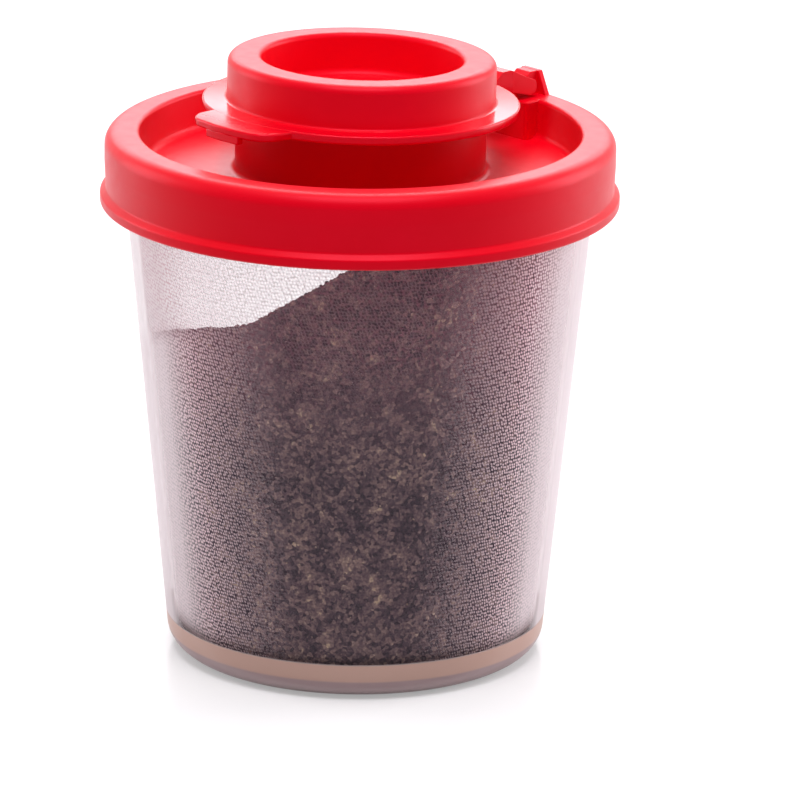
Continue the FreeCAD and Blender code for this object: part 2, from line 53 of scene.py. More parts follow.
# Radii of small moulded edges, in millimetres
TIGHT_ROUND = 0.1
EDGE_ROUND = 0.2
SOFT_ROUND = 0.3

# Cup, in millimetres
CUP_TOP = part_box("cup")[1].z / MM
CUP_TOP_RADIUS = 27.23
BASE_RADIUS = 21.49
CUP_WALL = 1.0
CUP_FLOOR = 1.9
FOOT_RECESS = 0.9
FOOT_WIDTH = 1.4
BASE_CORNER = 3.1
INNER_CORNER = 1.6
ROLL_REACH = 0.42
ROLL_HEIGHT = 2.2
ROLL_SLOPE = 0.6
ROLL_ROUND = 0.3
FOOT_ROUND = 0.15
WALL_STEP = 1.2
INSIDE_SLOPE = 0.3
TAPER = (CUP_TOP_RADIUS - BASE_RADIUS) / CUP_TOP

# Pepper, in millimetres and degrees
FILL_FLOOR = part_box("ground_pepper")[0].z / MM
FILL_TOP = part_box("ground_pepper")[1].z / MM
FILL_GAP = 0.1
HEAP_TURN = 46.5
HEAP_FALL = 19.0
HEAP_LOW = 34.5
RAMP_START = 12.5
RAMP_ANGLE = 28.3
HEAP_EASE = 1.2
FILL_FADE = 3.0
PACK_AROUND = 420
PACK_CELL = 0.85
PACK_RELIEF = 0.32
PACK_MIDDLE = 0.45
PACK_SEED = 11
GRAIN_SIZES = (0.12, 0.34)
GRAIN_COUNT = 7000
GRAIN_LAYERS = 2
GRAINS_ON_WALL = 0.72
GRAIN_SQUASH = 0.4
GRAIN_CHIP = 0.2
GRAIN_MARGIN = 0.2
GRAIN_SHARP_ANGLE = math.radians(25)

# Lid, in millimetres: LID_FOOT is the bottom of its lip
LID_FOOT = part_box("lid")[0].z / MM
LIP_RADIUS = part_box("lid")[1].x / MM
LIP_HEIGHT = 1.15
LIP_SLOPE = 0.6
LIP_ROUND = 0.35
WAIST_RADIUS = 28.9
SKIRT_WALL = 1.0
SEAT = CUP_TOP + 0.1
CREST = SEAT + 1.4
RIM_OUTER = 29.05
RIM_INNER = 25.12
RIM_OUTER_ROUND = 1.7
RIM_INNER_ROUND = 0.5
LID_FLOOR = CREST - 4.5
LID_FLOOR_WALL = 1.1
FLOOR_ROUND = 0.9
PLUG_GAP = 0.08
SNAP_GAP = 0.06
SNAP_HEIGHT = 1.1
NECK_RADIUS = 14.26
NECK_WALL = 1.26
NECK_TOP = LID_FLOOR + 9.8
NECK_ROUND = 0.35
NECK_FOOT_ROUND = 0.7
WAIST_ROUND = 0.4
SKIRT_ROUND = 2.0
SIFTER_WALL = 1.0
HOLE_RADIUS = 1.2
HOLE_RING = 5.5
HOLE_COUNT = 6
PLATE_BITE = 0.2
OVERRUN = 1.0

# Flip cap, in millimetres, as it lies when shut: the tab's and arm's roots lie ROOT_SINK inside the flange
FLANGE_UNDER = LID_FLOOR + 6.51
FLANGE_TOP = FLANGE_UNDER + 1.0
CAP_TOP = FLANGE_UNDER + 6.0
RING_RADIUS = 15.26
RING_WALL = 0.95
RING_TOP_WALL = 1.2
RING_OUTER_ROUND = 1.0
RING_INNER_ROUND = 0.6
RECESS_RADIUS = 11.43
RECESS_DEPTH = 4.84
RECESS_ROUND = 0.8
DISC_WALL = 0.9
DISC_ROUND = 0.25
SEAL_GAP = 0.3
SLIDE_GAP = 0.08
MOUTH_GAP = 0.3
FLANGE_RADIUS = 18.02
FLANGE_ROUND = 0.25
FLANGE_FOOT_ROUND = 0.3
TAB_REACH = 21.5
TAB_ROOT = 13.6
TAB_TIP = 12.4
TAB_WALL = 1.7
TAB_ROUND = 3.0
CATCH_WIDTH = 5.2
CATCH_DEPTH = 1.0
ROOT_SINK = 0.03
SIFTER_TOP = CAP_TOP - RECESS_DEPTH - DISC_WALL - SEAL_GAP

# Hinge, in millimetres and degrees
PIN_REACH = 24.8
PIN_HEIGHT = CREST + 1.3
PIN_RADIUS = 0.62
PIN_GAP = 0.05
HOOK_RADIUS = 1.15
HOOK_WIDTH = 2.4
JAW_OPENING = 1.0
LEAD_RISE = 0.95
POST_RISE = 1.42
POST_DEPTH = 2.8
WING_DEPTH = 0.7
WING_TOP_WIDTH = 2.8
WING_FOOT_WIDTH = 5.3
WING_FOOT_ROUND = 0.6
WING_SPREAD = 0.1
POST_INSET = 0.05
PILLAR_WIDTH = 7.2
PILLAR_REACH = 2.0
PILLAR_ROUND = 0.4
CHEEK_RADIUS = 0.98
CHEEK_WIDTH = 1.0
CHEEK_GAP = 0.15
CROTCH_GAP = 2.1
SLOT_REACH = 5.0
SLOT_DEPTH = 3.0
POST_GAP = 0.12
HUMP_SHARES = (0.19, 0.32, 0.54)
HUMP_RISE = 0.68
HUMP_ROUNDS = (0.3, 0.4, 0.7)
BITE = 0.25
AJAR = math.radians(1.34)

# How finely round forms are divided, and how moulded edges are softened
TURNS = 288
ARC_STEP = math.radians(7.5)
ON_AXIS = 1e-9
SHARP_ANGLE = math.radians(30)
SOFT_ANGLE = math.radians(35)
SOFT_SEGMENTS = 3
EDGE_SOFTNESS = 0.1 * MM
HOOK_SOFTNESS = 0.08 * MM
FINE_SOFTNESS = 0.12 * MM
PILLAR_SOFTNESS = 0.2 * MM
TAB_SOFTNESS = 0.25 * MM


# Profiles and outlines
def rounded(corners, closed=False):
    """A line through corners (across, up, radius), each corner replaced by a tangent arc of its radius.

    The arc starts and ends at radius * tan(turn / 2) from the corner, and its points are
    the centre plus the radius at evenly spaced angles between the two tangent points.
    """
    places = np.array([corner[:2] for corner in corners], float)
    radii = [corner[2] if len(corner) > 2 else 0.0 for corner in corners]
    count = len(places)
    line = []
    for i, radius in enumerate(radii):
        here = places[i]
        if radius == 0 or (not closed and i in (0, count - 1)):
            line.append(here)
            continue
        back = places[i - 1] - here
        on = places[(i + 1) % count] - here
        back /= np.linalg.norm(back)
        on /= np.linalg.norm(on)
        turn = math.pi - math.acos(np.clip(back @ on, -1, 1))
        start = here + back * radius * math.tan(turn / 2)
        middle = (back + on) / np.linalg.norm(back + on)
        centre = here + middle * radius / math.cos(turn / 2)
        side = np.sign(back[0] * on[1] - back[1] * on[0])
        steps = max(2, math.ceil(turn / ARC_STEP))
        angles = side * np.linspace(0, turn, steps + 1) * -1
        arm = start - centre
        line.extend(np.c_[arm[0] * np.cos(angles) - arm[1] * np.sin(angles),
                          arm[0] * np.sin(angles) + arm[1] * np.cos(angles)] + centre)
    return np.array(line)


def divided(line, longest):
    """The line with its long stretches split into equal ones no longer than the given length."""
    pieces = [line[:1]]
    for start, end in zip(line[:-1], line[1:]):
        steps = max(1, math.ceil(np.linalg.norm(end - start) / longest))
        pieces.append(start + (end - start) * np.arange(1, steps + 1)[:, None] / steps)
    return np.vstack(pieces)


def arc(centre, radius, first, last):
    """Points on a circle from the first to the last angle in radians."""
    steps = max(2, math.ceil(abs(last - first) / ARC_STEP))
    angles = np.linspace(first, last, steps + 1)
    return np.c_[np.cos(angles), np.sin(angles)] * radius + centre


# Meshes
def mesh_piece(name, points, faces, sharp=SHARP_ANGLE):
    """A mesh object at the origin from points in millimetres, smooth but for edges past the sharp angle."""
    mesh = bpy.data.meshes.new(name)
    mesh.from_pydata((np.asarray(points) * MM).tolist(), [], faces)
    mesh.validate()
    mesh.shade_smooth()
    mesh.set_sharp_from_angle(angle=sharp)
    piece = bpy.data.objects.new(name, mesh)
    bpy.context.scene.collection.objects.link(piece)
    return piece


def turned(name, profile, closed=True, place=None):
    """A surface of revolution: point (i, j) is profile point j turned by i / TURNS of a full circle about Z.

    Profile points on the axis become one pole each. The profile runs so that faces point outwards.
    """
    profile = np.asarray(profile, float)
    angle = np.arange(TURNS) * 2 * math.pi / TURNS
    radius, height = profile[:, 0], profile[:, 1]
    grid = np.stack([np.outer(np.cos(angle), radius), np.outer(np.sin(angle), radius),
                     np.broadcast_to(height, (TURNS, len(height)))], axis=-1)
    number = np.arange(grid[..., 0].size).reshape(grid.shape[:2])
    on_axis = radius < ON_AXIS
    number[:, on_axis] = number[0, on_axis]
    along = len(profile) if closed else len(profile) - 1
    faces = []
    for j in range(along):
        k = (j + 1) % len(profile)
        a, b = number[:, j], number[:, k]
        c, d = np.roll(b, -1), np.roll(a, -1)
        if on_axis[j] and on_axis[k]:
            continue
        if on_axis[j]:
            faces.extend(np.c_[a, c, b].tolist())
        elif on_axis[k]:
            faces.extend(np.c_[a, d, b].tolist())
        else:
            faces.extend(np.c_[a, d, c, b].tolist())
    points = grid.reshape(-1, 3)
    if place is not None:
        points = place(points)
    return tidied(mesh_piece(name, points, faces))


def tidied(piece):
    """Drops loose points and turns every face outwards."""
    work = bmesh.new()
    work.from_mesh(piece.data)
    loose = [vertex for vertex in work.verts if not vertex.link_faces]
    bmesh.ops.delete(work, geom=loose, context="VERTS")
    bmesh.ops.recalc_face_normals(work, faces=work.faces)
    work.to_mesh(piece.data)
    work.free()
    return piece


def prism(name, outline, low, high, axis, place=None, soft=EDGE_SOFTNESS):
    """An outline raised from low to high along X, Y or Z, with its edges softened by a bevel.

    The outline's two coordinates are (y, z) for axis X, (x, z) for Y and (x, y) for Z.
    """
    outline = np.asarray(outline, float)
    count = len(outline)
    order = {"X": (2, 0, 1), "Y": (0, 2, 1), "Z": (0, 1, 2)}[axis]
    layers = [np.c_[outline, np.full(count, level)][:, order] for level in (low, high)]
    points = np.vstack(layers)
    ring = np.arange(count)
    faces = np.c_[ring, np.roll(ring, -1), np.roll(ring, -1) + count, ring + count].tolist()
    faces += [ring[::-1].tolist(), (ring + count).tolist()]
    if place is not None:
        points = place(points)
    piece = tidied(mesh_piece(name, points, faces))
    if soft:
        soften(piece, soft)
    return piece


def soften(piece, width):
    """Rounds a piece's edges and keeps its large faces flat in shading."""
    bevel = piece.modifiers.new("Softened edges", "BEVEL")
    bevel.width = width
    bevel.segments = SOFT_SEGMENTS
    bevel.limit_method = "ANGLE"
    bevel.angle_limit = SOFT_ANGLE
    flat = piece.modifiers.new("Flat faces", "WEIGHTED_NORMAL")
    flat.keep_sharp = True


def carved(piece, *cutters):
    """Takes the cutters' shapes out of the piece and removes them."""
    for cutter in cutters:
        cut = piece.modifiers.new("Cut", "BOOLEAN")
        cut.object = cutter
        cut.operation = "DIFFERENCE"
        cut.solver = "EXACT"
    graph = bpy.context.evaluated_depsgraph_get()
    shaped = bpy.data.meshes.new_from_object(piece.evaluated_get(graph))
    shaped.set_sharp_from_angle(angle=SHARP_ANGLE)
    piece.modifiers.clear()
    piece.data = shaped
    for cutter in cutters:
        bpy.data.objects.remove(cutter)
    return piece


def ajar(points):
    """Turns the shut cap's points about the pin to where it stands in the photograph."""
    y, z = points[:, 1] - PIN_REACH, points[:, 2] - PIN_HEIGHT
    turned_y = y * math.cos(AJAR) + z * math.sin(AJAR)
    turned_z = -y * math.sin(AJAR) + z * math.cos(AJAR)
    return np.c_[points[:, 0], turned_y + PIN_REACH, turned_z + PIN_HEIGHT]


# Cup
def cup_radius(z):
    """Outer radius of the cup's tapered wall at a height."""
    return BASE_RADIUS + TAPER * z


def make_cup():
    """The cup's whole section, from the foot recess up the outside, over the rim roll and down the inside."""
    roll = CUP_TOP_RADIUS + ROLL_REACH
    roll_foot = CUP_TOP - ROLL_HEIGHT - ROLL_SLOPE
    foot_inner = BASE_RADIUS - BASE_CORNER - FOOT_WIDTH
    floor = FOOT_RECESS + CUP_FLOOR
    profile = rounded([
        (0, FOOT_RECESS),
        (foot_inner, FOOT_RECESS, EDGE_ROUND),
        (foot_inner, 0, FOOT_ROUND),
        (BASE_RADIUS, 0, BASE_CORNER),
        (cup_radius(roll_foot), roll_foot, EDGE_ROUND),
        (roll, CUP_TOP - ROLL_HEIGHT, ROLL_ROUND),
        (roll, CUP_TOP, ROLL_ROUND),
        (CUP_TOP_RADIUS - CUP_WALL, CUP_TOP, EDGE_ROUND),
        (cup_radius(floor) - CUP_WALL, floor, INNER_CORNER),
        (0, floor),
    ])
    return turned("cup_wall", divided(profile, WALL_STEP), closed=False)


def finish_cup_inside(cup, pebbled):
    """Gives the cup's inner wall and the top of its floor the pebbled finish, and leaves the rest smooth.

    The attribute "filled" is 1 on the wall where pepper lies behind it and 0 above the heap, and goes from one
    to the other over a height of FILL_FADE.
    """
    mesh = cup.data
    points = np.empty(len(mesh.vertices) * 3)
    mesh.vertices.foreach_get("co", points)
    x, y, z = points.reshape(-1, 3).T / MM
    inward = fill_radius(z) / np.maximum(np.hypot(x, y), 1.0)
    covered = (heap_height(x * inward, y * inward) - z) / FILL_FADE + 0.5
    filled = mesh.attributes.new("filled", "FLOAT", "POINT")
    filled.data.foreach_set("value", np.clip(covered, 0, 1).astype(np.float32))
    count = len(mesh.polygons)
    normals, centres = np.empty(count * 3), np.empty(count * 3)
    mesh.polygons.foreach_get("normal", normals)
    mesh.polygons.foreach_get("center", centres)
    normals, centres = normals.reshape(-1, 3), centres.reshape(-1, 3) / MM
    outwards = (normals[:, :2] * centres[:, :2]).sum(axis=1) / np.linalg.norm(centres[:, :2], axis=1)
    above = centres[:, 2] > FOOT_RECESS + CUP_FLOOR / 2
    floor_top = (normals[:, 2] > INSIDE_SLOPE) & (centres[:, 2] < CUP_TOP / 2)
    inside = above & ((outwards < -INSIDE_SLOPE) | floor_top)
    mesh.materials.append(pebbled)
    mesh.polygons.foreach_set("material_index", inside.astype(np.int32))


# Pepper
def heap_height(x, y):
    """Height of the heap: a plane that falls away from the viewer, with a ramp that climbs to the right."""
    turn = math.radians(HEAP_TURN)
    across = x * math.cos(turn) + y * math.sin(turn)
    away = -x * math.sin(turn) + y * math.cos(turn)
    past = across + RAMP_START
    climb = (past + np.sqrt(past ** 2 + HEAP_EASE ** 2)) / 2 * math.tan(math.radians(RAMP_ANGLE))
    fall = math.radians(HEAP_FALL)
    height = (HEAP_LOW + climb) / math.cos(fall) - away * math.tan(fall)
    return np.minimum(height, FILL_TOP)


def fill_radius(z):
    """Radius of the pepper against the cup's inner wall."""
    return cup_radius(z) - CUP_WALL - FILL_GAP


# Large primes and uneven waves that scatter one grain centre in each cell
HASH_PRIMES = (73856093, 19349663, 83492791)
HASH_WAVES = (12.9898, 78.233, 37.719)


def cell_bumps(points, size, seed):
    """Rounded bumps like packed grains: 1 at each grain's middle, falling with the square of the distance.

    One grain centre lies at random in each cube of the given size, and the nearest of the 27 around counts.
    """
    cell = np.floor(points / size).astype(int)
    best = np.full(len(points), 9.0)
    for shift in np.ndindex(3, 3, 3):
        near = cell + np.array(shift) - 1
        mixed = near @ np.array(HASH_PRIMES) + seed
        jitter = np.stack([np.abs(np.sin(mixed * wave)) % 1 for wave in HASH_WAVES], axis=-1)
        gap = (near + jitter) - points / size
        best = np.minimum(best, (gap ** 2).sum(axis=1))
    return 1 - np.clip(best, 0, 1)


def pepper_grid(cos, sin):
    """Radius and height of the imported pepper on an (angle, path) grid: floor disc, corner, wall and heap top.

    The wall ends where it meets the heap. Its height and its radius depend on each other there, so the two
    are found by a few tries in turn.
    """
    around, floor_steps, corner_steps, wall_steps, top_steps = len(cos), 10, 6, 120, 60
    rim_tries = 12
    top = np.full((around, 1), FILL_TOP)
    for _ in range(rim_tries):
        rim = fill_radius(top)
        top = heap_height(rim * cos, rim * sin)
    low = FILL_FLOOR
    share = np.linspace(0, 1, wall_steps)[None, :]
    wall_z = low + INNER_CORNER + (top - low - INNER_CORNER) * share
    wall_r = fill_radius(wall_z)
    bend = np.linspace(0, math.pi / 2, corner_steps)[None, :-1]
    corner_r = fill_radius(low + INNER_CORNER) - INNER_CORNER + INNER_CORNER * np.sin(bend)
    corner_z = low + INNER_CORNER - INNER_CORNER * np.cos(bend)
    floor_r = np.linspace(0, 1, floor_steps)[None, :-1] * corner_r[0, 0]
    in_share = np.linspace(1, 0, top_steps)[None, 1:]
    top_r = wall_r[:, -1:] * in_share
    top_z = heap_height(top_r * cos, top_r * sin)
    tile = np.ones((around, 1))
    radius = np.hstack([floor_r * tile, corner_r * tile, wall_r, top_r])
    height = np.hstack([np.full(floor_r.shape, low) * tile, corner_z * tile, wall_z, top_z])
    return radius, height


def make_pepper_mass():
    """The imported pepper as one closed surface, with a pole at each end of its paths.

    Each point sinks towards the middle of the mass by PACK_RELIEF * (1 - bump).
    """
    angle = np.arange(PACK_AROUND) * 2 * math.pi / PACK_AROUND
    cos, sin = np.cos(angle)[:, None], np.sin(angle)[:, None]
    radius, height = pepper_grid(cos, sin)
    points = np.stack([radius * cos, radius * sin, height], axis=-1).reshape(-1, 3)
    sink = PACK_RELIEF * (1 - cell_bumps(points, PACK_CELL, PACK_SEED))
    inward = np.array([0, 0, PACK_MIDDLE * FILL_TOP]) - points
    inward /= np.linalg.norm(inward, axis=1)[:, None]
    points = points + inward * sink[:, None]
    number = np.arange(radius.size).reshape(radius.shape)
    number[:, 0] = number[0, 0]
    number[:, -1] = number[0, -1]
    a, b = number[:, :-1], number[:, 1:]
    c, d = np.roll(b, -1, axis=0), np.roll(a, -1, axis=0)
    quads = np.stack([a, d, c, b], axis=-1)
    faces = quads[:, 1:-1].reshape(-1, 4).tolist()
    faces += quads[:, 0][:, [0, 2, 3]].tolist() + quads[:, -1][:, [0, 1, 3]].tolist()
    return tidied(mesh_piece("pepper_mass", points, faces, sharp=math.radians(180)))


def grain_shape():
    """The 12 corners and 20 faces of an icosahedron of radius 1."""
    golden = (1 + math.sqrt(5)) / 2
    corners = []
    for a in (-1, 1):
        for b in (-golden, golden):
            corners += [(0, a, b), (a, b, 0), (b, 0, a)]
    corners = np.array(corners) / math.hypot(1, golden)
    edge = np.linalg.norm(corners[:, None] - corners[None], axis=-1)
    near = np.isclose(edge, edge[edge > 1e-6].min(), atol=1e-3)
    faces = [(i, j, k) for i in range(12) for j in range(i + 1, 12) for k in range(j + 1, 12)
             if near[i, j] and near[j, k] and near[i, k]]
    faces = [f if np.linalg.det(corners[list(f)]) > 0 else f[::-1] for f in faces]
    return corners, np.array(faces)


def make_grains(name, seed):
    """Loose grains, each a squashed and chipped icosahedron, on the pepper's wall and heap.

    Small grains are commoner: a size is the smallest plus the range times a random number squared. A grain's
    shade, from 0 to 1, is kept in the attribute "shade" for its material.
    """
    count = GRAIN_COUNT
    smallest, largest = GRAIN_SIZES
    random = np.random.default_rng(seed)
    corners, faces = grain_shape()
    size = smallest + (largest - smallest) * random.random(count) ** 2
    angle = random.random(count) * 2 * math.pi
    on_wall = random.random(count) < GRAINS_ON_WALL
    height = FILL_FLOOR + INNER_CORNER + random.random(count) * (FILL_TOP - FILL_FLOOR - INNER_CORNER)
    wall = fill_radius(height) - size
    roof = heap_height(wall * np.cos(angle), wall * np.sin(angle))
    on_wall &= height < roof - size
    radius = np.where(on_wall, wall, (fill_radius(roof) - size) * np.sqrt(random.random(count)))
    x, y = radius * np.cos(angle), radius * np.sin(angle)
    z = np.where(on_wall, height, np.minimum(heap_height(x, y), FILL_TOP - GRAIN_MARGIN))
    stretch = 1 - GRAIN_SQUASH + GRAIN_SQUASH * random.random((count, 1, 3))
    chip = 1 - GRAIN_CHIP + GRAIN_CHIP * random.random((count, len(corners), 1))
    turn = np.linalg.qr(random.normal(size=(count, 3, 3)))[0]
    local = corners[None] * stretch * chip * size[:, None, None]
    points = np.einsum("nij,nkj->nki", turn, local) + np.stack([x, y, z], axis=-1)[:, None]
    all_faces = (faces[None] + len(corners) * np.arange(count)[:, None, None]).reshape(-1, 3)
    grains = mesh_piece(name, points.reshape(-1, 3), all_faces.tolist(), sharp=GRAIN_SHARP_ANGLE)
    shade = grains.data.attributes.new("shade", "FLOAT", "POINT")
    shade.data.foreach_set("value", np.repeat(random.random(count), len(corners)).astype(np.float32))
    return tidied(grains)


# Lid
def make_lid_shell():
    """The lid's whole section, from inside the neck, just under the sifter, round to the same point.

    It runs down and out under the floor, up the plug, over the cup's rim, down the skirt with its snap ridge,
    up the outside, over the crest, down to the floor and in, and up and over the neck.
    """
    floor_under = LID_FLOOR - LID_FLOOR_WALL
    plug_rim = CUP_TOP_RADIUS - CUP_WALL - PLUG_GAP
    plug_foot = plug_rim - TAPER * (CUP_TOP - floor_under)
    skirt_inner = RIM_OUTER - SKIRT_WALL
    snap_radius = CUP_TOP_RADIUS + ROLL_REACH + SNAP_GAP
    snap_top = CUP_TOP - ROLL_HEIGHT - ROLL_SLOPE
    neck_inner = NECK_RADIUS - NECK_WALL
    start = SIFTER_TOP - SIFTER_WALL - SEAL_GAP
    profile = rounded([
        (neck_inner, start),
        (neck_inner, floor_under, EDGE_ROUND),
        (plug_foot, floor_under, SOFT_ROUND),
        (plug_rim, SEAT, EDGE_ROUND),
        (skirt_inner, SEAT, SOFT_ROUND),
        (skirt_inner, snap_top, TIGHT_ROUND),
        (snap_radius, snap_top - SNAP_HEIGHT / 2, EDGE_ROUND),
        (skirt_inner, snap_top - SNAP_HEIGHT, TIGHT_ROUND),
        (skirt_inner, LID_FOOT, FOOT_ROUND),
        (LIP_RADIUS, LID_FOOT, LIP_ROUND),
        (LIP_RADIUS, LID_FOOT + LIP_HEIGHT, LIP_ROUND),
        (WAIST_RADIUS, LID_FOOT + LIP_HEIGHT + LIP_SLOPE, WAIST_ROUND),
        (RIM_OUTER, CREST - 2 * RIM_OUTER_ROUND, SKIRT_ROUND),
        (RIM_OUTER, CREST, RIM_OUTER_ROUND),
        (RIM_INNER, CREST, RIM_INNER_ROUND),
        (RIM_INNER - TAPER * (CREST - LID_FLOOR), LID_FLOOR, FLOOR_ROUND),
        (NECK_RADIUS, LID_FLOOR, NECK_FOOT_ROUND),
        (NECK_RADIUS, NECK_TOP, NECK_ROUND),
        (neck_inner, NECK_TOP, NECK_ROUND),
        (neck_inner, start),
    ])
    return turned("lid_shell", profile[:-1], closed=True)


def make_sifter():
    """The sifter plate inside the neck: one hole in the middle and a ring of them round it."""
    edge = NECK_RADIUS - NECK_WALL + PLATE_BITE
    under = SIFTER_TOP - SIFTER_WALL
    section = [(0, under), (edge, under), (edge, SIFTER_TOP), (0, SIFTER_TOP)]
    plate = turned("sifter_plate", section, closed=False)
    circle = arc((0, 0), HOLE_RADIUS, 0, 2 * math.pi)[:-1]
    places = [(0.0, 0.0)]
    for i in range(HOLE_COUNT):
        turn = 2 * math.pi * i / HOLE_COUNT
        places.append((HOLE_RING * math.cos(turn), HOLE_RING * math.sin(turn)))
    low, high = under - OVERRUN, SIFTER_TOP + OVERRUN
    cutters = [prism("hole", circle + place, low, high, "Z", soft=0) for place in places]
    return carved(plate, *cutters)


def make_hinge_post():
    """Pillar on the lid's floor, winged post on its crest, and the hook for the cap's pin.

    The hook's back and top lie just inside the wings, so that no two faces share a plane.
    """
    back = PIN_REACH + POST_DEPTH
    hook_back = back - POST_INSET
    front = PIN_REACH - HOOK_RADIUS
    post_front = PIN_REACH + CHEEK_RADIUS + POST_GAP
    sunk = CREST - BITE
    top = PIN_HEIGHT + POST_RISE
    half = HOOK_WIDTH / 2
    bore = PIN_RADIUS + PIN_GAP
    mouth = math.asin(JAW_OPENING / 2 / bore)
    lip = math.asin(JAW_OPENING / 2 / HOOK_RADIUS)
    pin = np.array([PIN_REACH, PIN_HEIGHT])
    hook = np.vstack([
        [(front, sunk), (hook_back, sunk), (hook_back, top - ROOT_SINK), (post_front, top - ROOT_SINK)],
        [(PIN_REACH + JAW_OPENING / 2, PIN_HEIGHT + LEAD_RISE)],
        arc(pin, bore, math.pi / 2 - mouth, -3 * math.pi / 2 + mouth),
        arc(pin, HOOK_RADIUS, math.pi / 2 + lip, math.pi),
    ])
    wing_top, wing_foot = WING_TOP_WIDTH / 2, WING_FOOT_WIDTH / 2
    wings = rounded([
        (-wing_top, top, EDGE_ROUND),
        (wing_top, top, EDGE_ROUND),
        (wing_foot, CREST, WING_FOOT_ROUND),
        (wing_foot + WING_SPREAD, sunk),
        (-wing_foot - WING_SPREAD, sunk),
        (-wing_foot, CREST, WING_FOOT_ROUND),
    ], closed=True)
    wide = PILLAR_WIDTH / 2
    pillar_front, pillar_back = PIN_REACH - PILLAR_REACH, RIM_INNER + BITE
    pillar = rounded([
        (-wide, pillar_front, PILLAR_ROUND),
        (wide, pillar_front, PILLAR_ROUND),
        (wide, pillar_back),
        (-wide, pillar_back),
    ], closed=True)
    return [prism("hinge_hook", hook, -half, half, "X", soft=HOOK_SOFTNESS),
            prism("hinge_wings", wings, back - WING_DEPTH, back, "Y"),
            prism("hinge_pillar", pillar, LID_FLOOR - BITE, CREST, "Z", soft=PILLAR_SOFTNESS)]


# Flip cap
def make_cap_ring():
    """The cap's section: disc and plug inside the neck, channel over its top, flange, ring and recess."""
    plug = RECESS_RADIUS + RING_WALL
    recess_floor = CAP_TOP - RECESS_DEPTH
    channel = CAP_TOP - RING_TOP_WALL
    profile = rounded([
        (0, recess_floor - DISC_WALL),
        (plug, recess_floor - DISC_WALL, DISC_ROUND),
        (plug, channel, SOFT_ROUND),
        (NECK_RADIUS + SLIDE_GAP, channel, SOFT_ROUND),
        (NECK_RADIUS + MOUTH_GAP, FLANGE_UNDER, TIGHT_ROUND),
        (FLANGE_RADIUS, FLANGE_UNDER, FLANGE_ROUND),
        (FLANGE_RADIUS, FLANGE_TOP, FLANGE_ROUND),
        (RING_RADIUS, FLANGE_TOP, FLANGE_FOOT_ROUND),
        (RING_RADIUS, CAP_TOP, RING_OUTER_ROUND),
        (RECESS_RADIUS, CAP_TOP, RING_INNER_ROUND),
        (RECESS_RADIUS, recess_floor, RECESS_ROUND),
        (0, recess_floor),
    ])
    return turned("cap_ring", profile, closed=False, place=ajar)


def make_tab():
    """The thumb tab, two converging sides with rounded corners and an arced tip, and the catch under its tip.

    A corner's arc has radius TAB_ROUND. It touches the tip arc and the side, so its middle lies on
    the circle of radius TAB_REACH - TAB_ROUND, TAB_ROUND inside the side.
    """
    root = TAB_ROOT / 2
    tip = TAB_TIP / 2
    start = RING_RADIUS - RING_WALL
    lean = math.atan2(root - tip, TAB_REACH - start)
    inner = TAB_REACH - TAB_ROUND
    middle_x = tip + (TAB_REACH - inner) * math.tan(lean) - TAB_ROUND / math.cos(lean)
    middle_y = -math.sqrt(inner ** 2 - middle_x ** 2)
    swing = math.asin(middle_x / inner)
    right = arc((middle_x, middle_y), TAB_ROUND, swing - math.pi / 2, -lean)
    left = right[::-1] * (-1, 1)
    tip_arc = arc((0, 0), TAB_REACH, -math.pi / 2 - swing, -math.pi / 2 + swing)[1:-1]
    outline = np.vstack([[(-root, -start)], left, tip_arc, right, [(root, -start)]])
    low, top = FLANGE_UNDER + ROOT_SINK, FLANGE_TOP - ROOT_SINK
    tab = prism("thumb_tab", outline, low, top, "Z", place=ajar, soft=TAB_SOFTNESS)
    half = CATCH_WIDTH / 2
    swing = math.asin(half / TAB_REACH)
    back = CATCH_DEPTH - TAB_REACH
    tip_edge = arc((0, 0), TAB_REACH, -math.pi / 2 - swing, -math.pi / 2 + swing)
    lip = np.vstack([tip_edge, [(half, back), (-half, back)]])
    low, top = FLANGE_TOP - TAB_WALL, FLANGE_UNDER + BITE
    catch = prism("tab_catch", lip, low, top, "Z", place=ajar, soft=FINE_SOFTNESS)
    return [tab, catch]


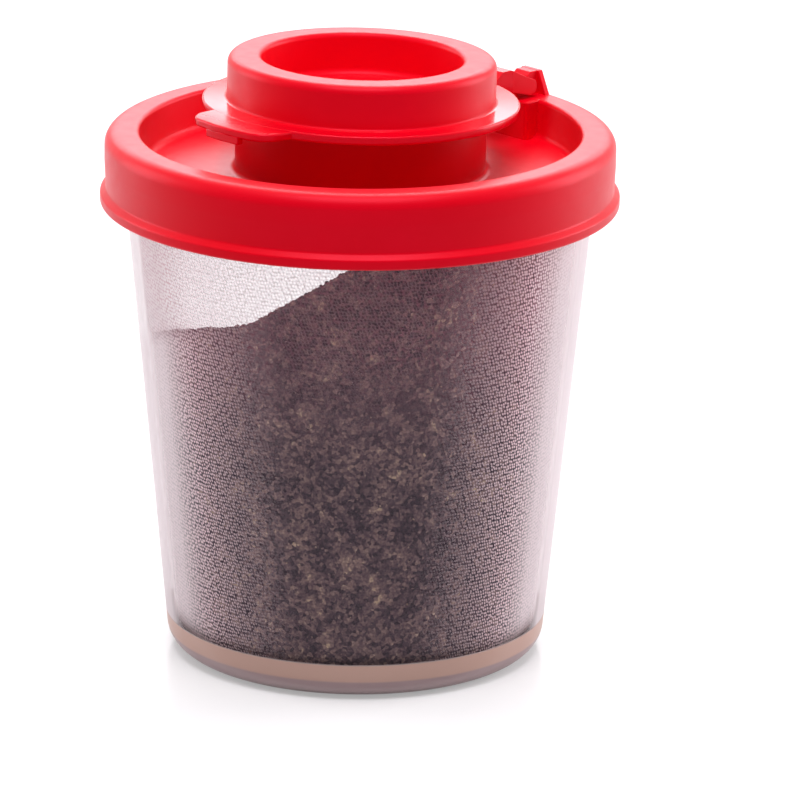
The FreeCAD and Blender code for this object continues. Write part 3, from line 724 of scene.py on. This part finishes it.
def make_fork():
    """The arm from the flange with its two cheeks, and the cross pin between them."""
    inside = (RING_RADIUS + FLANGE_RADIUS) / 2
    cheek_half = HOOK_WIDTH / 2 + CHEEK_GAP
    wide = cheek_half + CHEEK_WIDTH
    crotch = PIN_REACH - HOOK_RADIUS - CROTCH_GAP
    under_turn = math.atan2(FLANGE_UNDER - PIN_HEIGHT + CHEEK_RADIUS, PIN_REACH - FLANGE_RADIUS)
    pin = np.array([PIN_REACH, PIN_HEIGHT])
    foot, crown, heel = [FLANGE_RADIUS + share * (PIN_REACH - FLANGE_RADIUS) for share in HUMP_SHARES]
    foot_round, crown_round, heel_round = HUMP_ROUNDS
    low, top, hump = FLANGE_UNDER + ROOT_SINK, FLANGE_TOP - ROOT_SINK, FLANGE_TOP + HUMP_RISE
    arm = np.vstack([
        [(inside, low), (FLANGE_RADIUS, low)],
        arc(pin, CHEEK_RADIUS, -math.pi / 2 - under_turn / 2, math.pi / 3),
        rounded([
            (PIN_REACH, PIN_HEIGHT + CHEEK_RADIUS),
            (heel, hump, heel_round),
            (crown, hump, crown_round),
            (foot, top, foot_round),
            (inside, top),
        ]),
    ])
    fork = prism("hinge_fork", arm, -wide, wide, "X", place=ajar, soft=0)
    beyond = PIN_REACH + SLOT_REACH
    slot = np.array([(-cheek_half, crotch), (cheek_half, crotch), (cheek_half, beyond), (-cheek_half, beyond)])
    cutter = prism("slot", slot, CREST - SLOT_DEPTH, CAP_TOP, "Z", place=ajar, soft=0)
    fork = carved(fork, cutter)
    soften(fork, FINE_SOFTNESS)
    circle = arc(pin, PIN_RADIUS, 0, 2 * math.pi)[:-1]
    cross_pin = prism("cross_pin", circle, -cheek_half - BITE, cheek_half + BITE, "X", place=ajar, soft=0)
    return [fork, cross_pin]


# Finishes: colours are linear, and texture scales are in cells for each metre
WHITE = (1.0, 1.0, 1.0, 1.0)
NOISE_RANGE = (0.3, 0.7)

# Red: roughness from the first to the second value, less the polish on the cap's flange and tab
CLOUD_SCALE = 90.0
PEEL_SCALE = 700.0
RED_SHADES = [(0.3, (0.735, 0.0002, 0.009)), (0.7, (0.775, 0.0004, 0.013))]
# Painted light: the recess's red is brighter, standing in for light that shines through its thin wall
RECESS_GLOW_RED = (0.81, 0.0004, 0.012)
# Painted shadow: the neck's red is deeper, for the shade under the flange
NECK_SHADOW_RED = (0.56, 0.0002, 0.006)
RED_SHEEN = (1.0, 0.15, 0.25, 1.0)
MATTE_ROUGHNESS = (0.35, 0.39)
POLISH = 0.24

# Clear: a haze is where it starts and where it is full, from 0 facing the eye to 1 edge on, then its most,
# and the share of it that is left above the heap
STREAK_SCALE = 60.0
MILK_SHADES = [(0.3, (0.88, 0.77, 0.79)), (0.7, (0.94, 0.83, 0.85))]
LEAST_HAZE = 0.02
OUTER_HAZE = (0.63, 0.77, 0.78, 0.62)
INNER_HAZE = (0.42, 0.66, 0.84, 0.35)
CLEAR_GLOSS = {"Roughness": 0.3, "IOR": 1.49, "Specular_IOR_Level": 0.12}

# A painted band: the pepper seen refracted through the thick floor, beige between two soft edges, over the
# darker foot
FOOT_COLOUR = (0.49, 0.35, 0.36)
REFRACTED_PEPPER_COLOUR = (0.68, 0.44, 0.365)
BAND_FOOT = (2.15 * MM, 2.4 * MM)
BAND_TOP = (4.25 * MM, 4.5 * MM)
BAND_COVER = 0.9

# Pebbles: how many around and for each metre up, their shape and colours: painted highlights and painted shade.
# The gaps take a painted red reflection of the lid over its heights. Bare is the wall above the heap: what is
# left of pebbles and gaps there, and the film over it.
PEBBLES_AROUND = 395
PEBBLES_UP = 2450
ROW_SHIFT = 0.35
PEBBLE_SCATTER = 0.45
PEBBLE_EDGE = (0.24, 0.56)
PEBBLE_RELIEF = 0.05 * MM
# Painted light: the pebbles' crowns carry painted highlights, more of them where the wall is seen edge on, and
# the gaps painted shade
PEBBLE_HIGHLIGHT_COLOUR = (1.0, 0.76, 0.80)
PEBBLE_FACING = (0.13, 0.46)
PEBBLE_COVER = 0.95
GAP_SHADE_COLOUR = (0.16, 0.09, 0.12)
# Painted reflection: the red of the lid, painted into the gaps near it
LID_REFLECTION_GAP_COLOUR = (0.46, 0.09, 0.16)
LID_REFLECTION_HEIGHTS = (26 * MM, 44 * MM)
GAP_COVERS = (0.12, 0.40)
BARE_PEBBLES = 0.15
BARE_GAPS = 0.5
BARE_FILM = 0.195

# Pepper: shades from the darkest grain to the palest, and how far each noise moves a grain among them
CELL_SCALE = 2300.0
CELL_SHARE = 0.72
CLUMP_SCALE = 420.0
CLUMP_SHIFT = (-0.22, 0.30)
DRIFT_SCALE = 120.0
DRIFT_SHIFT = (-0.06, 0.10)
DUST_SCALE = 3200.0
DUST_SHIFT = (-0.16, 0.18)
GRIT_SCALE = 6000.0
GRIT_SHIFT = (-0.12, 0.08)
CELL_RELIEF = 0.2 * MM
GRIT_RELIEF = 0.08 * MM
PEPPER_GLOSS = {"Roughness": 0.8, "Specular_IOR_Level": 0.25}
PEPPER_SHADES = [
    (0.0, (0.024, 0.015, 0.031)),
    (0.30, (0.085, 0.053, 0.073)),
    (0.60, (0.230, 0.146, 0.157)),
    (0.85, (0.385, 0.255, 0.237)),
    (0.96, (0.500, 0.355, 0.285)),
    (1.0, (0.740, 0.560, 0.390)),
]


class Nodes:
    """A material's node tree, with a short way to add and link nodes."""

    def __init__(self, name):
        self.material = bpy.data.materials.new(name)
        self.material.use_nodes = True
        self.tree = self.material.node_tree
        self.shader = self.tree.nodes["Principled BSDF"]
        self.place = self.add("ShaderNodeTexCoord").outputs["Object"]

    def add(self, kind, **settings):
        """A new node with the given settings."""
        node = self.tree.nodes.new(kind)
        for name, value in settings.items():
            setattr(node, name, value)
        return node

    def link(self, output, target):
        self.tree.links.new(output, target)

    def set(self, **values):
        """Sets the shader's inputs, with an underscore for each blank in their names."""
        for name, value in values.items():
            self.shader.inputs[name.replace("_", " ")].default_value = value

    def texture(self, kind, scale, **inputs):
        """A texture node that follows the piece."""
        node = self.add(kind)
        self.link(self.place, node.inputs["Vector"])
        node.inputs["Scale"].default_value = scale
        for name, value in inputs.items():
            node.inputs[name].default_value = value
        return node

    def noise(self, scale, new_low, new_high, **inputs):
        """Noise of a scale, spread over new_low to new_high."""
        source = self.texture("ShaderNodeTexNoise", scale, **inputs).outputs["Fac"]
        return self.spread(source, *NOISE_RANGE, new_low, new_high)

    def spread(self, source, low, high, new_low, new_high):
        """The source between low and high, spread over new_low to new_high."""
        node = self.add("ShaderNodeMapRange")
        names = ("From Min", "From Max", "To Min", "To Max")
        for name, value in zip(names, (low, high, new_low, new_high)):
            node.inputs[name].default_value = value
        self.link(source, node.inputs["Value"])
        return node.outputs["Result"]

    def height(self):
        """Height above the foot in metres."""
        node = self.add("ShaderNodeSeparateXYZ")
        self.link(self.place, node.inputs["Vector"])
        return node.outputs["Z"]

    def radius(self):
        """Distance from the shaker's axis in metres."""
        flat = self.add("ShaderNodeVectorMath", operation="MULTIPLY")
        self.link(self.place, flat.inputs[0])
        flat.inputs[1].default_value = (1.0, 1.0, 0.0)
        node = self.add("ShaderNodeVectorMath", operation="LENGTH")
        self.link(flat.outputs["Vector"], node.inputs[0])
        return node.outputs["Value"]

    def facing(self):
        """0 where a face looks at the eye, 1 where it is seen edge on."""
        return self.add("ShaderNodeLayerWeight").outputs["Facing"]

    def attribute(self, name):
        """The value that the mesh keeps for each point under this name."""
        return self.add("ShaderNodeAttribute", attribute_name=name).outputs["Fac"]

    def slanted_grid(self, around, up):
        """Cells that follow the wall: so many around the axis and for each metre up, each row shifted."""
        node = self.add("ShaderNodeSeparateXYZ")
        self.link(self.place, node.inputs["Vector"])
        turn = self.maths("ARCTAN2", node.outputs["Y"], node.outputs["X"])
        row = self.maths("MULTIPLY", node.outputs["Z"], up)
        straight = self.maths("MULTIPLY", turn, around / (2 * math.pi))
        column = self.maths("ADD", straight, self.maths("MULTIPLY", row, ROW_SHIFT))
        grid = self.add("ShaderNodeCombineXYZ")
        self.link(column, grid.inputs["X"])
        self.link(row, grid.inputs["Y"])
        return grid.outputs["Vector"]

    def between(self, source, low, high, soft):
        """1 where a source in metres lies between low and high millimetres, with soft edges, else 0."""
        low, high, soft = low * MM, high * MM, soft * MM
        rise = self.spread(source, low - soft, low + soft, 0.0, 1.0)
        return self.maths("MULTIPLY", rise, self.spread(source, high - soft, high + soft, 1.0, 0.0))

    def blend(self, share, first, second):
        """The first colour where share is 0, the second where it is 1."""
        node = self.add("ShaderNodeMix", data_type="RGBA")
        self.link(share, node.inputs["Factor"])
        for socket, value in ((node.inputs[6], first), (node.inputs[7], second)):
            if isinstance(value, tuple):
                socket.default_value = (*value, 1.0)
            else:
                self.link(value, socket)
        return node.outputs[2]

    def ramp(self, source, stops):
        """The colour at the source's place between stops of (place, colour)."""
        node = self.add("ShaderNodeValToRGB")
        elements = node.color_ramp.elements
        while len(elements) < len(stops):
            elements.new(0.5)
        for element, (place, colour) in zip(elements, stops):
            element.position = place
            element.color = (*colour, 1.0)
        self.link(source, node.inputs["Fac"])
        return node.outputs["Color"]

    def maths(self, operation, first, second):
        """An operation on two numbers or sockets."""
        node = self.add("ShaderNodeMath", operation=operation)
        for socket, value in zip(node.inputs, (first, second)):
            if isinstance(value, (int, float)):
                socket.default_value = value
            else:
                self.link(value, socket)
        return node.outputs["Value"]

    def bump(self, height, distance, strength):
        """Tilts the shader's normal as if the surface rose with the height, by the distance in metres."""
        node = self.add("ShaderNodeBump")
        node.inputs["Distance"].default_value = distance
        node.inputs["Strength"].default_value = strength
        self.link(height, node.inputs["Height"])
        self.link(node.outputs["Normal"], self.shader.inputs["Normal"])


def red_plastic():
    """Moulded red plastic: matte and slightly cloudy, polished on the cap's flange and tab.

    The red of the cap's recess is painted brighter, a painted glow for the light that comes through its thin
    wall.
    The neck's is painted deeper, a painted shadow for the shade that lies under the flange in the photograph.
    """
    nodes = Nodes("moulded_red_plastic")
    height, radius = nodes.height(), nodes.radius()
    cloud = nodes.texture("ShaderNodeTexNoise", CLOUD_SCALE, Detail=3.0)
    colour = nodes.ramp(cloud.outputs["Fac"], RED_SHADES)
    # Painted glow: brighter red in the cap's recess, for light through its thin wall
    above = nodes.spread(height, (FLANGE_UNDER - 1.0) * MM, FLANGE_UNDER * MM, 0.0, 1.0)
    within = nodes.spread(radius, RECESS_RADIUS * MM, (RECESS_RADIUS + 0.6) * MM, 1.0, 0.0)
    colour = nodes.blend(nodes.maths("MULTIPLY", above, within), colour, RECESS_GLOW_RED)
    # Painted shadow: deeper red on the neck under the flange
    wall = nodes.between(radius, NECK_RADIUS - NECK_WALL / 2, NECK_RADIUS + 0.5, soft=0.15)
    beside = nodes.between(height, LID_FLOOR + 0.6, NECK_TOP - 1.0, soft=0.4)
    colour = nodes.blend(nodes.maths("MULTIPLY", wall, beside), colour, NECK_SHADOW_RED)
    nodes.link(colour, nodes.shader.inputs["Base Color"])
    flange = nodes.between(radius, RING_RADIUS + 0.1, TAB_REACH + 0.5, soft=0.05)
    level = nodes.between(height, FLANGE_UNDER - 1.0, FLANGE_TOP + 1.0, soft=0.05)
    polish = nodes.maths("MULTIPLY", nodes.maths("MULTIPLY", flange, level), POLISH)
    matte = nodes.noise(PEEL_SCALE, *MATTE_ROUGHNESS, Detail=2.0)
    nodes.link(nodes.maths("SUBTRACT", matte, polish), nodes.shader.inputs["Roughness"])
    nodes.set(IOR=1.5, Specular_IOR_Level=0.36, Specular_Tint=RED_SHEEN)
    return nodes.material


def milky_plastic(nodes, start, full, most, above):
    """The cup's milky colour, and its haze, which grows from its start and is full where a face turns further.

    Above the heap the haze is the given share of what it is in front of the pepper.
    """
    streak = nodes.texture("ShaderNodeTexNoise", STREAK_SCALE, Detail=3.0)
    milk = nodes.ramp(streak.outputs["Fac"], MILK_SHADES)
    haze = nodes.spread(nodes.facing(), start, full, LEAST_HAZE, most)
    return milk, nodes.maths("MULTIPLY", haze, nodes.spread(nodes.attribute("filled"), 0.0, 1.0, above, 1.0))


def smooth_clear_plastic():
    """The cup's outer face: clear from the front, milky where it is seen edge on, painted beige at its thick
    floor for the pepper seen through it.
    """
    nodes = Nodes("clear_smooth_plastic")
    height = nodes.height()
    milk, haze = milky_plastic(nodes, *OUTER_HAZE)
    # Painted refraction: beige over the thick floor, for the pepper seen through it, over a darker foot
    base = nodes.blend(nodes.spread(height, *BAND_FOOT, 0.0, 1.0), FOOT_COLOUR, REFRACTED_PEPPER_COLOUR)
    thick = nodes.spread(height, *BAND_TOP, 1.0, 0.0)
    cover = nodes.maths("MULTIPLY", thick, BAND_COVER)
    nodes.link(nodes.blend(thick, milk, base), nodes.shader.inputs["Base Color"])
    nodes.link(nodes.maths("MAXIMUM", haze, cover), nodes.shader.inputs["Alpha"])
    nodes.set(**CLEAR_GLOSS)
    return nodes.material


def pebbled_clear_plastic():
    """The cup's inner face: fine pebbles, with painted highlights in their middles and painted shade between,
    and in the gaps under the lid a painted red reflection of it.

    Above the heap, where "filled" is 0, the pebbles are fainter and an even film lies over the wall.
    """
    nodes = Nodes("clear_pebbled_plastic")
    pebble = nodes.add("ShaderNodeTexVoronoi", voronoi_dimensions="2D")
    pebble.inputs["Scale"].default_value = 1.0
    pebble.inputs["Randomness"].default_value = PEBBLE_SCATTER
    nodes.link(nodes.slanted_grid(PEBBLES_AROUND, PEBBLES_UP), pebble.inputs["Vector"])
    # Painted highlights on the pebbles' crowns and painted shade in the gaps between them
    crown = nodes.spread(pebble.outputs["Distance"], *PEBBLE_EDGE, 1.0, 0.0)
    # Painted reflection of the red lid: the gaps redden towards the lid
    glow = nodes.spread(nodes.height(), *LID_REFLECTION_HEIGHTS, 0.0, 1.0)
    milk, haze = milky_plastic(nodes, *INNER_HAZE)
    pebbles = nodes.blend(crown, nodes.blend(glow, GAP_SHADE_COLOUR, LID_REFLECTION_GAP_COLOUR), PEBBLE_HIGHLIGHT_COLOUR)
    nodes.link(nodes.blend(haze, pebbles, milk), nodes.shader.inputs["Base Color"])
    filled = nodes.attribute("filled")
    bright = nodes.maths("MULTIPLY", crown, nodes.spread(nodes.facing(), *PEBBLE_FACING, 0.0, PEBBLE_COVER))
    bright = nodes.maths("MULTIPLY", bright, nodes.spread(filled, 0.0, 1.0, BARE_PEBBLES, 1.0))
    bright = nodes.maths("ADD", bright, nodes.spread(filled, 0.0, 1.0, BARE_FILM, 0.0))
    gap = nodes.maths("SUBTRACT", 1.0, crown)
    dark = nodes.maths("MULTIPLY", gap, nodes.spread(glow, 0.0, 1.0, *GAP_COVERS))
    dark = nodes.maths("MULTIPLY", dark, nodes.spread(filled, 0.0, 1.0, BARE_GAPS, 1.0))
    cover = nodes.maths("ADD", bright, dark)
    veil = nodes.maths("MULTIPLY", haze, nodes.maths("SUBTRACT", 1.0, cover))
    nodes.link(nodes.maths("ADD", cover, veil), nodes.shader.inputs["Alpha"])
    nodes.bump(crown, PEBBLE_RELIEF, strength=0.5)
    nodes.set(**CLEAR_GLOSS)
    return nodes.material


def packed_pepper():
    """Ground pepper packed against the wall: small cells of many browns in lighter and darker clumps."""
    nodes = Nodes("packed_ground_pepper")
    cells = nodes.texture("ShaderNodeTexVoronoi", CELL_SCALE)
    single = nodes.add("ShaderNodeSeparateColor")
    nodes.link(cells.outputs["Color"], single.inputs["Color"])
    shade = nodes.maths("MULTIPLY", single.outputs["Red"], CELL_SHARE)
    clumps = nodes.noise(CLUMP_SCALE, *CLUMP_SHIFT, Detail=4.0, Roughness=0.65)
    drift = nodes.noise(DRIFT_SCALE, *DRIFT_SHIFT, Detail=1.0)
    dust = nodes.noise(DUST_SCALE, *DUST_SHIFT, Detail=1.0)
    for shift in (clumps, drift, dust):
        shade = nodes.maths("ADD", shade, shift)
    nodes.link(nodes.ramp(shade, PEPPER_SHADES), nodes.shader.inputs["Base Color"])
    nodes.bump(cells.outputs["Distance"], CELL_RELIEF, strength=-1.0)
    nodes.set(**PEPPER_GLOSS)
    return nodes.material


def loose_pepper():
    """Single grains: each takes its brown from its own shade."""
    nodes = Nodes("loose_ground_pepper")
    grit = nodes.texture("ShaderNodeTexNoise", GRIT_SCALE, Detail=2.0)
    mottle = nodes.spread(grit.outputs["Fac"], *NOISE_RANGE, *GRIT_SHIFT)
    shade = nodes.maths("ADD", nodes.attribute("shade"), mottle)
    nodes.link(nodes.ramp(shade, PEPPER_SHADES), nodes.shader.inputs["Base Color"])
    nodes.bump(grit.outputs["Fac"], GRIT_RELIEF, strength=0.6)
    nodes.set(**PEPPER_GLOSS)
    return nodes.material


def dress(piece, material, body, slot, *replaced):
    """Gives a piece its finish and its place on the body that carries it."""
    piece.data.materials.clear()
    piece.data.materials.append(material)
    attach(piece, body)
    if replaced:
        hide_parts(*replaced)


# Floor, light and camera
FLOOR_HALF = 1.5
FLOOR_COLOUR = (0.63, 0.655, 0.65, 1.0)
FLOOR_GLOW = 0.32
WORLD_LIGHT = 0.23
WORLD_WHITE = 1.0

# Lamps: name, azimuth and elevation in degrees, distance, width and height in metres, power in watts
LAMP_COLOUR = (1.0, 0.93, 0.975)
LAMP_AIM = (0, 0, 0.04)
LAMPS = [
    ("top_box", 46, 75, 0.8, 0.5, 0.5, 6.0),
    ("left_box", -65, 13, 0.8, 0.4, 0.6, 2.5),
    ("right_box", 158, 13, 0.8, 0.4, 0.6, 3.8),
    ("back_box", 226, 25, 0.9, 0.9, 0.35, 3.6),
    ("crest_box", 226, 50, 0.8, 0.3, 0.3, 1.6),
]

# Camera, as fitted to the photograph: metres, degrees, and pixels of its 800 by 800 frame
CAMERA_DISTANCE = 0.7851
CAMERA_AZIMUTH = 46.5
CAMERA_ELEVATION = 16.572
CAMERA_ROLL = 0.6556
FOCAL_PIXELS = 6853.5
FRAME_PIXELS = 800
SENSOR_WIDTH = 36.0
NEAREST_SEEN = 0.01
AIM_HEIGHT = 0.034925
AIM_PIXEL = (358.13, 350.85)


def seen_directly(tree):
    """1 for camera, glossy and transmission rays, which show a surface, and 0 for those that it only lights."""
    path = tree.nodes.new("ShaderNodeLightPath")
    seen = path.outputs["Is Camera Ray"]
    for kind in ("Is Glossy Ray", "Is Transmission Ray"):
        either = tree.nodes.new("ShaderNodeMath")
        either.operation = "MAXIMUM"
        tree.links.new(seen, either.inputs[0])
        tree.links.new(path.outputs[kind], either.inputs[1])
        seen = either.outputs[0]
    return seen


def floor_finish():
    """Pale and slightly glossy, with a glow that only the camera and reflections see."""
    nodes = Nodes("pale_floor")
    glow = nodes.maths("MULTIPLY", seen_directly(nodes.tree), FLOOR_GLOW)
    nodes.link(glow, nodes.shader.inputs["Emission Strength"])
    nodes.set(Base_Color=FLOOR_COLOUR, Roughness=0.2, Specular_IOR_Level=0.04, Emission_Color=WHITE)
    return nodes.material


def make_floor():
    """A flat square under the shaker, part of the stage."""
    corners = [(x * FLOOR_HALF, y * FLOOR_HALF, 0) for x, y in ((-1, -1), (1, -1), (1, 1), (-1, 1))]
    mesh = bpy.data.meshes.new("floor")
    mesh.from_pydata(corners, [], [(0, 1, 2, 3)])
    floor = bpy.data.objects.new("floor", mesh)
    bpy.context.scene.collection.objects.link(floor)
    mesh.materials.append(floor_finish())


def make_world():
    """White to the camera and in reflections, and an even pale light on everything."""
    world = bpy.data.worlds.new("studio")
    world.use_nodes = True
    bpy.context.scene.world = world
    tree = world.node_tree
    tree.nodes.clear()
    mix = tree.nodes.new("ShaderNodeMixShader")
    tree.links.new(seen_directly(tree), mix.inputs["Fac"])
    for socket, strength in ((mix.inputs[1], WORLD_LIGHT), (mix.inputs[2], WORLD_WHITE)):
        sky = tree.nodes.new("ShaderNodeBackground")
        sky.inputs["Color"].default_value = WHITE
        sky.inputs["Strength"].default_value = strength
        tree.links.new(sky.outputs[0], socket)
    output = tree.nodes.new("ShaderNodeOutputWorld")
    tree.links.new(mix.outputs[0], output.inputs["Surface"])


def direction(azimuth, elevation):
    """Unit vector at an azimuth in degrees, from -Y and counterclockwise seen from above, and an elevation."""
    a, e = math.radians(azimuth), math.radians(elevation)
    return Vector((math.sin(a) * math.cos(e), -math.cos(a) * math.cos(e), math.sin(e)))


def softbox(name, azimuth, elevation, distance, width, height, power):
    """An area lamp that looks at the middle of the shaker."""
    lamp = bpy.data.lights.new(name, "AREA")
    lamp.shape = "RECTANGLE"
    lamp.size = width
    lamp.size_y = height
    lamp.energy = power
    lamp.color = LAMP_COLOUR
    box = bpy.data.objects.new(name, lamp)
    bpy.context.scene.collection.objects.link(box)
    away = direction(azimuth, elevation)
    box.location = Vector(LAMP_AIM) + away * distance
    box.rotation_euler = (-away).to_track_quat("-Z", "Y").to_euler()


def make_camera():
    """The camera looks at AIM_HEIGHT on the axis, rolls, then turns until that point lies at AIM_PIXEL."""
    away = direction(CAMERA_AZIMUTH, CAMERA_ELEVATION)
    right = direction(CAMERA_AZIMUTH + 90, 0)
    up = right.cross(-away)
    cos, sin = math.cos(math.radians(CAMERA_ROLL)), math.sin(math.radians(CAMERA_ROLL))
    right, up = right * cos + up * sin, -right * sin + up * cos
    upright = Matrix((right, up, away)).transposed()
    middle = FRAME_PIXELS / 2
    aim_x, aim_y = AIM_PIXEL
    seen = Vector(((aim_x - middle) / FOCAL_PIXELS, (middle - aim_y) / FOCAL_PIXELS, -1.0))
    turn = Vector((0, 0, -1)).rotation_difference(seen.normalized()).to_matrix()
    data = bpy.data.cameras.new("camera")
    data.sensor_width = SENSOR_WIDTH
    data.lens = FOCAL_PIXELS * SENSOR_WIDTH / FRAME_PIXELS
    data.clip_start = NEAREST_SEEN
    camera = bpy.data.objects.new("camera", data)
    bpy.context.scene.collection.objects.link(camera)
    pose = (upright @ turn.transposed()).to_4x4()
    pose.translation = Vector((0, 0, AIM_HEIGHT)) + away * CAMERA_DISTANCE
    camera.matrix_world = pose
    bpy.context.scene.camera = camera


# The shaker on its stage
red = red_plastic()
cup = make_cup()
dress(cup, smooth_clear_plastic(), "cup", "clear_plastic", "cup")
finish_cup_inside(cup, pebbled_clear_plastic())
dress(make_pepper_mass(), packed_pepper(), "cup", "pepper", "ground_pepper")
loose = loose_pepper()
for layer in range(1, GRAIN_LAYERS + 1):
    dress(make_grains("pepper_grains_%d" % layer, layer), loose, "cup", "pepper")
dress(make_lid_shell(), red, "lid", "red_plastic", "lid")
for piece in [make_sifter(), *make_hinge_post()]:
    dress(piece, red, "lid", "red_plastic")
dress(make_cap_ring(), red, "flip_cap", "red_plastic", "flip_cap")
for piece in [*make_tab(), *make_fork()]:
    dress(piece, red, "flip_cap", "red_plastic")

make_floor()
make_world()
for lamp in LAMPS:
    softbox(*lamp)
make_camera()
bpy.context.scene.view_settings.view_transform = "Standard"
